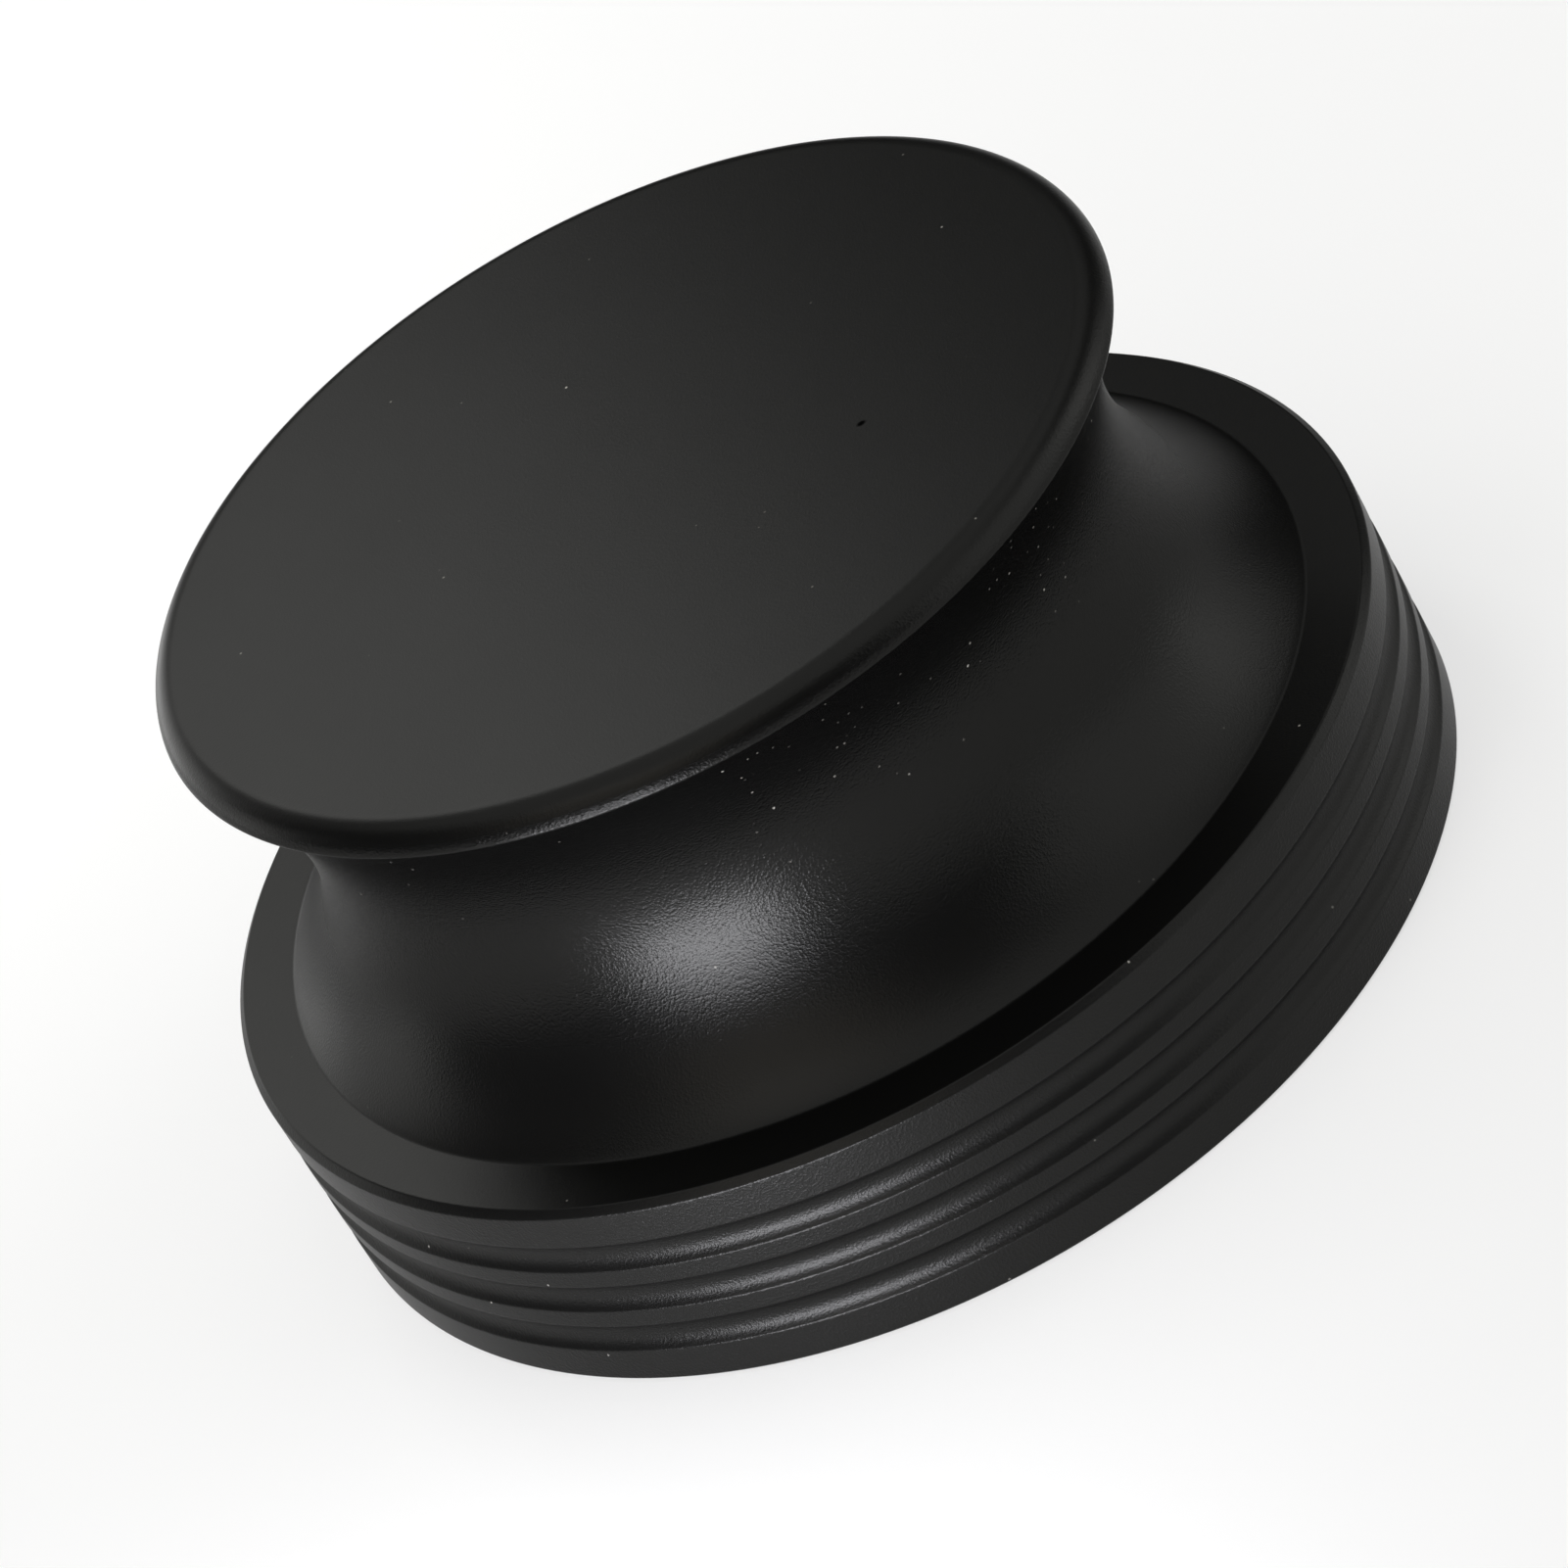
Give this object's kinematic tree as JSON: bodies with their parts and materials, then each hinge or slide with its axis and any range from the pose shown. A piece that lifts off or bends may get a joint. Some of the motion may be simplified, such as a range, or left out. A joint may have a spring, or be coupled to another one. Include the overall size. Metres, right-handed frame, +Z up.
{
  "type": "record weight clamp",
  "caption": "Spool-shaped turned aluminium record weight with a grooved round base, concave neck and flat-topped knob, and a blind spindle bore underneath.",
  "frame": {"origin": "centre of the underside, on the turning axis", "axes": "+Z up along the turning axis, from the underside to the knob; the part is round about it, so X and Y are free"},
  "size_m": [0.076, 0.076, 0.038],
  "materials": {
    "anodised_aluminium": "bead blasted, anodised black"
  },
  "bodies": {
    "root": {"weight_body": "anodised_aluminium"}
  },
  "joints": []
}
